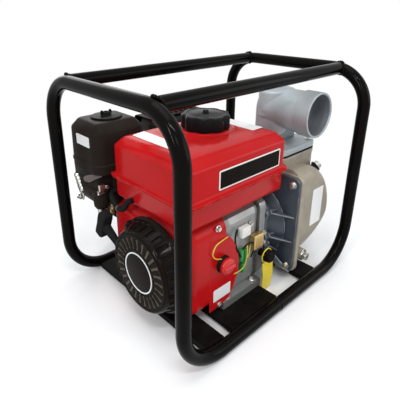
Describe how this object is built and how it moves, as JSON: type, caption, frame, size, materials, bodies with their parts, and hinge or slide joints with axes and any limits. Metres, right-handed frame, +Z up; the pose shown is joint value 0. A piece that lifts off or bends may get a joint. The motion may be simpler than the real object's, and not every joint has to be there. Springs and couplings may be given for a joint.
{
  "type": "portable fire pump",
  "caption": "Petrol engine pump set in a bent tube frame: recoil starter, fuel tank, air cleaner and a self-priming water pump with an elbow outlet and a rear suction port.",
  "frame": {"origin": "on the ground under the middle of the tube frame", "axes": "+X along the crankshaft from the recoil starter to the pump, -Y toward the side with the stop switch, +Z up"},
  "size_m": [0.525, 0.387, 0.455],
  "materials": {
    "frame_black": "gloss powder coat",
    "shroud_red": "gloss enamel",
    "cast_grey": "die cast, bead blasted",
    "bare_aluminium": "cast, machined at the ports",
    "casing_beige": "sand cast, grey primer",
    "bracket_slate": "satin paint on a casting",
    "matte_black": "fine moulded grain",
    "gloss_black": "gloss",
    "steel": "zinc plated or ground",
    "iron": "as cast",
    "rubber": "moulded rubber",
    "brass": "yellow zinc",
    "white_plastic": "moulded",
    "knob_red": "moulded",
    "foam": "oiled foam"
  },
  "bodies": {
    "base": {"left_hoop": "frame_black", "right_hoop": "frame_black", "top_rail_front": "frame_black", "top_rail_rear": "frame_black", "cross_plate_left": "frame_black", "engine_plate": "frame_black", "pump_plate": "frame_black", "fan_shroud": "shroud_red", "tank_upper_shell": "shroud_red", "tank_lower_shell": "shroud_red", "crankcase": "cast_grey", "crankcase_cover": "cast_grey", "cylinder_head": "bare_aluminium", "carburettor": "bare_aluminium", "discharge_elbow": "bare_aluminium", "suction_flange": "bare_aluminium", "pump_casing": "casing_beige", "pump_bracket": "bracket_slate", "air_cleaner_base": "matte_black", "air_cleaner_cover": "matte_black", "stop_switch_body": "matte_black", "recoil_housing": "gloss_black", "rocker_cover": "gloss_black", "muffler_shield": "gloss_black", "main_bearing_front": "steel", "main_bearing_rear": "steel", "spark_plug": "steel", "carburettor_bowl": "steel", "ignition_coil": "iron", "muffler_body": "iron", "exhaust_pipe": "iron", "inner_volute": "iron", "spark_plug_cap": "rubber", "fuel_hose": "rubber", "discharge_gasket": "rubber", "suction_gasket": "rubber", "mechanical_seal": "rubber", "charging_regulator": "brass", "oil_alert_unit": "white_plastic", "air_filter_element": "foam"},
    "crank": {"crankshaft_flywheel_half": "steel", "crankshaft_pump_half": "steel", "flywheel": "iron", "starter_cup": "steel", "impeller": "iron"},
    "piston_and_rod": {"piston": "bare_aluminium", "connecting_rod": "bare_aluminium"},
    "grip": {"starter_grip": "rubber"},
    "reel": {"recoil_reel": "matte_black"},
    "cap": {"fuel_cap": "gloss_black"},
    "cleaner_nut": {"cleaner_wing_nut": "matte_black"},
    "choke": {"choke_lever": "gloss_black"},
    "fuel_tap": {"fuel_tap_lever": "gloss_black"},
    "throttle": {"throttle_lever": "gloss_black"},
    "stop_knob": {"stop_switch_knob": "knob_red"},
    "oil_cap": {"oil_filler_cap": "matte_black"},
    "prime_plug": {"priming_plug": "bare_aluminium"},
    "drain_plug": {"pump_drain_plug": "steel"},
    "flap": {"check_flap": "rubber"}
  },
  "joints": [
    {"name": "crank_spin", "type": "hinge", "parent": "base", "child": "crank", "pos_m": [0, -0.0375, 0.124], "axis": [1, 0, 0], "continuous": true},
    {"name": "piston_slide", "type": "slide", "parent": "base", "child": "piston_and_rod", "axis": [0, 0.9397, 0.342], "range_m": [-0.027, 0.027]},
    {"name": "starter_pull", "type": "slide", "parent": "base", "child": "grip", "axis": [-0.8509, 0.4505, 0.2703], "range_m": [0, 0.6], "stiffness_N_per_m": 15, "springref_m": -0.4},
    {"name": "reel_turn", "type": "hinge", "parent": "base", "child": "reel", "pos_m": [0, -0.0375, 0.124], "axis": [1, 0, 0], "continuous": true},
    {"name": "fuel_cap_turn", "type": "hinge", "parent": "base", "child": "cap", "pos_m": [-0.036, -0.008, 0.347], "axis": [0, 0, 1], "range_deg": [0, 90]},
    {"name": "cleaner_nut_turn", "type": "hinge", "parent": "base", "child": "cleaner_nut", "pos_m": [-0.167, 0.132, 0.36], "axis": [0, 0, 1], "range_deg": [0, 360]},
    {"name": "choke_swing", "type": "hinge", "parent": "base", "child": "choke", "pos_m": [-0.1203, 0.13702, 0.19231], "axis": [0, 1, 0], "range_deg": [0, 30]},
    {"name": "fuel_tap_swing", "type": "hinge", "parent": "base", "child": "fuel_tap", "pos_m": [-0.1003, 0.13702, 0.17231], "axis": [0, -1, 0], "range_deg": [0, 90]},
    {"name": "throttle_swing", "type": "hinge", "parent": "base", "child": "throttle", "pos_m": [-0.0983, 0.11572, 0.20431], "axis": [0, 0, -1], "range_deg": [0, 30]},
    {"name": "stop_switch_turn", "type": "hinge", "parent": "base", "child": "stop_knob", "pos_m": [-0.098, -0.119, 0.124], "axis": [0, 1, 0], "range_deg": [0, 45]},
    {"name": "oil_cap_turn", "type": "hinge", "parent": "base", "child": "oil_cap", "pos_m": [0.0273, -0.11, 0.088], "axis": [0, -1, 0], "range_deg": [0, 360]},
    {"name": "priming_plug_turn", "type": "hinge", "parent": "base", "child": "prime_plug", "pos_m": [0.14, -0.0375, 0.408], "axis": [0, 0, 1], "range_deg": [0, 360]},
    {"name": "drain_plug_turn", "type": "hinge", "parent": "base", "child": "drain_plug", "pos_m": [0.1306, -0.1485, 0.052], "axis": [0, -1, 0], "range_deg": [0, 360]},
    {"name": "check_flap_swing", "type": "hinge", "parent": "base", "child": "flap", "pos_m": [0.2337, -0.0375, 0.18], "axis": [0, 1, 0], "range_deg": [0, 35]}
  ],
  "couplings": [
    {"joint": "reel_turn", "follows": "starter_pull", "rad_per_m": 21.739}
  ]
}
